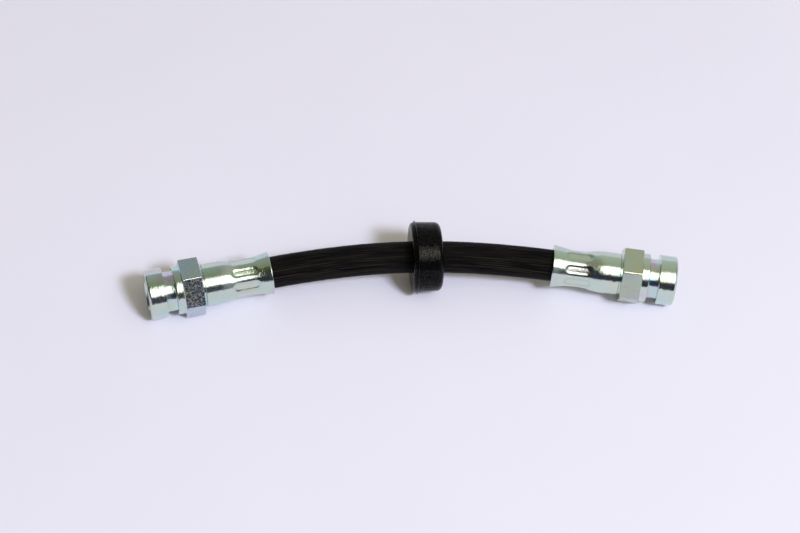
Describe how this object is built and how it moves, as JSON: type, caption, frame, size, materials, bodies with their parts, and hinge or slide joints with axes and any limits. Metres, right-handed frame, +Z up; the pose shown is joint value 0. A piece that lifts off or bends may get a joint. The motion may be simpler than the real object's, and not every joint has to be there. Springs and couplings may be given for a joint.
{
  "type": "brake hose",
  "caption": "Short curved flexible brake hose with a crimped female end fitting at each end and a rubber ring round the middle.",
  "frame": {"origin": "on the surface that the hose lies on, under the middle of its bounding box", "axes": "+X along the hose from the left end fitting to the right one, +Y towards the outside of its bend, +Z up"},
  "size_m": [0.1758, 0.0304, 0.0242],
  "materials": {
    "zinc_plated_steel": "bright blue-passivated zinc plating, finely turned",
    "plain_steel": "drawn, plain",
    "tube_rubber": "smooth extruded",
    "braid_yarn": "braided yarn",
    "cover_rubber": "extruded with fine lengthwise ribs, satin",
    "ring_rubber": "moulded, satin, fine grain"
  },
  "bodies": {
    "root": {"left_end_fitting": "zinc_plated_steel", "left_insert_tube": "plain_steel", "right_end_fitting": "zinc_plated_steel", "right_insert_tube": "plain_steel", "hose_inner_tube": "tube_rubber", "hose_inner_braid": "braid_yarn", "hose_middle_layer": "tube_rubber", "hose_outer_braid": "braid_yarn", "hose_outer_cover": "cover_rubber", "rubber_ring": "ring_rubber"}
  },
  "joints": []
}
